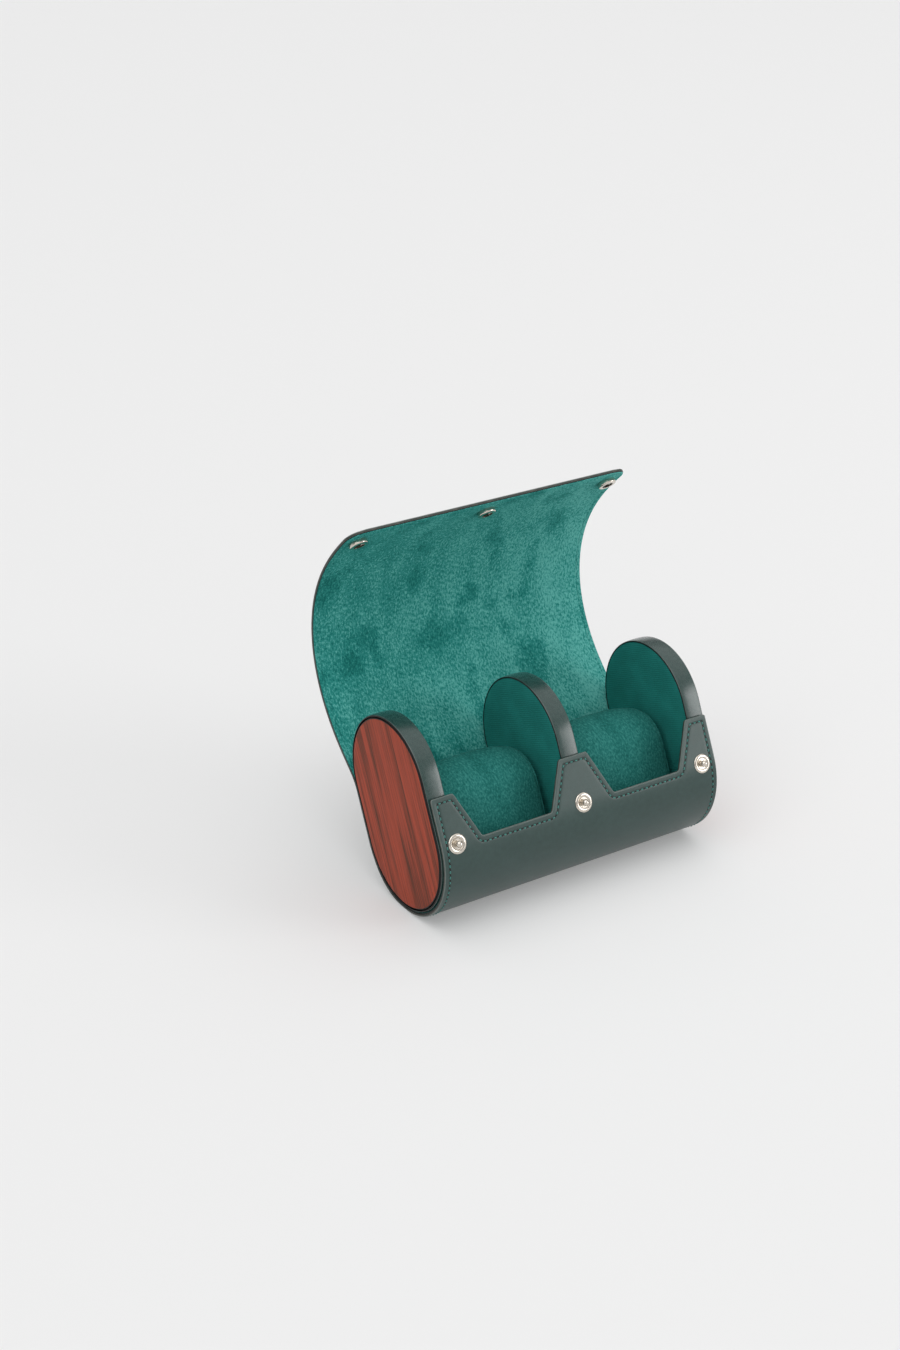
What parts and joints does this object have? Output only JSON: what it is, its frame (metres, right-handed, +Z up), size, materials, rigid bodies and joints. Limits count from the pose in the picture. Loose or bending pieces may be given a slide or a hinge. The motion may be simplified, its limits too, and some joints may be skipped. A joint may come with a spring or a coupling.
{
  "type": "watch storage case",
  "caption": "Leather watch roll on oval boards, with suede watch cushions, wooden end panels and a flap that wraps over and closes with snaps.",
  "frame": {"origin": "middle of the flat strip under the roll that it stands on", "axes": "+X along the roll to the right-hand end, -Y to the front with the studs, +Z up"},
  "size_m": [0.16, 0.1198, 0.1771],
  "materials": {
    "leather": "smooth dark green leather, satin",
    "edge_leather": "smooth dark green leather wrapped on the boards' edges",
    "lining_suede": "teal green brushed suede",
    "board_suede": "deep green suede",
    "cushion_suede": "deep green suede over foam",
    "cushion_foam": "upholstery foam",
    "board": "raw fibreboard",
    "rosewood": "satin lacquered rosewood veneer",
    "nickel": "polished nickel",
    "spring_steel": "bright spring wire",
    "rivet_steel": "plain plated steel"
  },
  "bodies": {
    "case": {"left_end_core": "board", "left_end_wood": "rosewood", "left_end_suede": "board_suede", "left_end_edge_band": "edge_leather", "right_end_core": "board", "right_end_wood": "rosewood", "right_end_suede": "board_suede", "right_end_edge_band": "edge_leather", "divider_core": "board", "divider_suede_left": "board_suede", "divider_suede_right": "board_suede", "divider_edge_band": "edge_leather", "wrap_leather": "leather", "wrap_lining": "lining_suede", "snap_studs": "nickel", "stud_rivets": "rivet_steel"},
    "flap_1": {"flap_leather_1": "leather", "flap_lining_1": "lining_suede"},
    "flap_2": {"flap_leather_2": "leather", "flap_lining_2": "lining_suede"},
    "flap_3": {"flap_leather_3": "leather", "flap_lining_3": "lining_suede"},
    "flap_4": {"flap_leather_4": "leather", "flap_lining_4": "lining_suede"},
    "flap_5": {"flap_leather_5": "leather", "flap_lining_5": "lining_suede"},
    "flap_6": {"flap_leather_6": "leather", "flap_lining_6": "lining_suede"},
    "flap_7": {"flap_leather_7": "leather", "flap_lining_7": "lining_suede"},
    "flap_front": {"flap_leather_front": "leather", "flap_lining_front": "lining_suede", "snap_sockets": "nickel", "socket_springs": "spring_steel", "socket_washers": "rivet_steel"},
    "cushion_left": {"cushion_left_cover": "cushion_suede", "cushion_left_core": "cushion_foam"},
    "cushion_right": {"cushion_right_cover": "cushion_suede", "cushion_right_core": "cushion_foam"}
  },
  "joints": [
    {"name": "flap_hinge", "type": "hinge", "parent": "case", "child": "flap_1", "pos_m": [0, 0.03701, 0.0467], "axis": [1, 0, 0], "range_deg": [-18, 24.28], "stiffness_Nm_per_rad": 0.78, "springref_deg": 0.56},
    {"name": "flap_bend_1", "type": "hinge", "parent": "flap_1", "child": "flap_2", "pos_m": [0, 0.04576, 0.05718], "axis": [1, 0, 0], "range_deg": [-19.51, 26.29], "stiffness_Nm_per_rad": 0.65, "springref_deg": 0.42},
    {"name": "flap_bend_2", "type": "hinge", "parent": "flap_2", "child": "flap_3", "pos_m": [0, 0.05518, 0.06684], "axis": [1, 0, 0], "range_deg": [-12.35, 16.65], "stiffness_Nm_per_rad": 0.55, "springref_deg": 0.21},
    {"name": "flap_bend_3", "type": "hinge", "parent": "flap_3", "child": "flap_4", "pos_m": [0, 0.06336, 0.07756], "axis": [1, 0, 0], "range_deg": [-8.17, 11.01], "stiffness_Nm_per_rad": 0.46, "springref_deg": -0.03},
    {"name": "flap_bend_4", "type": "hinge", "parent": "flap_4", "child": "flap_5", "pos_m": [0, 0.0696, 0.08951], "axis": [1, 0, 0], "range_deg": [-7.95, 10.71], "stiffness_Nm_per_rad": 0.37, "springref_deg": -0.27},
    {"name": "flap_bend_5", "type": "hinge", "parent": "flap_5", "child": "flap_6", "pos_m": [0, 0.07326, 0.10248], "axis": [1, 0, 0], "range_deg": [-8.39, 11.3], "stiffness_Nm_per_rad": 0.29, "springref_deg": -0.51},
    {"name": "flap_bend_6", "type": "hinge", "parent": "flap_6", "child": "flap_7", "pos_m": [0, 0.07389, 0.11593], "axis": [1, 0, 0], "range_deg": [-4.04, 5.43], "stiffness_Nm_per_rad": 0.22, "springref_deg": -0.72},
    {"name": "snap_press", "type": "hinge", "parent": "flap_7", "child": "flap_front", "pos_m": [0, 0.07143, 0.12918], "axis": [1, 0, 0], "range_deg": [0, 5], "stiffness_Nm_per_rad": 0.3},
    {"name": "cushion_left_lift", "type": "slide", "parent": "case", "child": "cushion_left", "axis": [0, -0.1779, -0.984], "range_m": [-0.104, 0]},
    {"name": "cushion_right_lift", "type": "slide", "parent": "case", "child": "cushion_right", "axis": [0, -0.1779, -0.984], "range_m": [-0.104, 0]}
  ],
  "couplings": [
    {"joint": "flap_bend_1", "follows": "flap_hinge", "ratio": 1.0809},
    {"joint": "flap_bend_2", "follows": "flap_hinge", "ratio": 0.68359},
    {"joint": "flap_bend_3", "follows": "flap_hinge", "ratio": 0.45135},
    {"joint": "flap_bend_4", "follows": "flap_hinge", "ratio": 0.43915},
    {"joint": "flap_bend_5", "follows": "flap_hinge", "ratio": 0.46341},
    {"joint": "flap_bend_6", "follows": "flap_hinge", "ratio": 0.22155}
  ]
}
